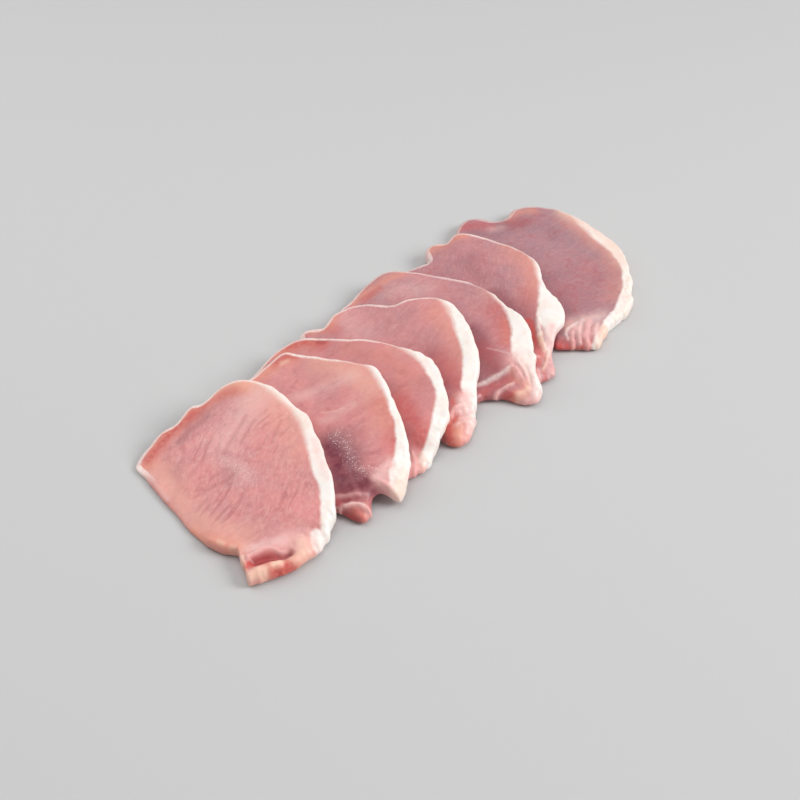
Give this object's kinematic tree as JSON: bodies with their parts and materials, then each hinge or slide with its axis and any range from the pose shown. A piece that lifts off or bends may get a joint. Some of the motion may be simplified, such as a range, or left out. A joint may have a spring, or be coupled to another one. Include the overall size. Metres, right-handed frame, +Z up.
{
  "type": "sliced pork loin",
  "caption": "Raw boneless pork loin cut in thin slices with a white fat side, laid overlapping in a row in cutting order.",
  "frame": {"origin": "on the flat surface that the slices lie on, at the middle of the row's box", "axes": "+X along the row, from the uppermost slice to the one that lies flat; +Y across the slices, away from their tails; +Z up"},
  "size_m": [0.292, 0.1201, 0.0257],
  "materials": {
    "raw_pork": "moist raw pork: pink lean meat with fine fibres, and a white fat side"
  },
  "bodies": {
    "root": {"slice_1": "raw_pork", "slice_2": "raw_pork", "slice_3": "raw_pork", "slice_4": "raw_pork", "slice_5": "raw_pork", "slice_6": "raw_pork", "slice_7": "raw_pork"}
  },
  "joints": []
}
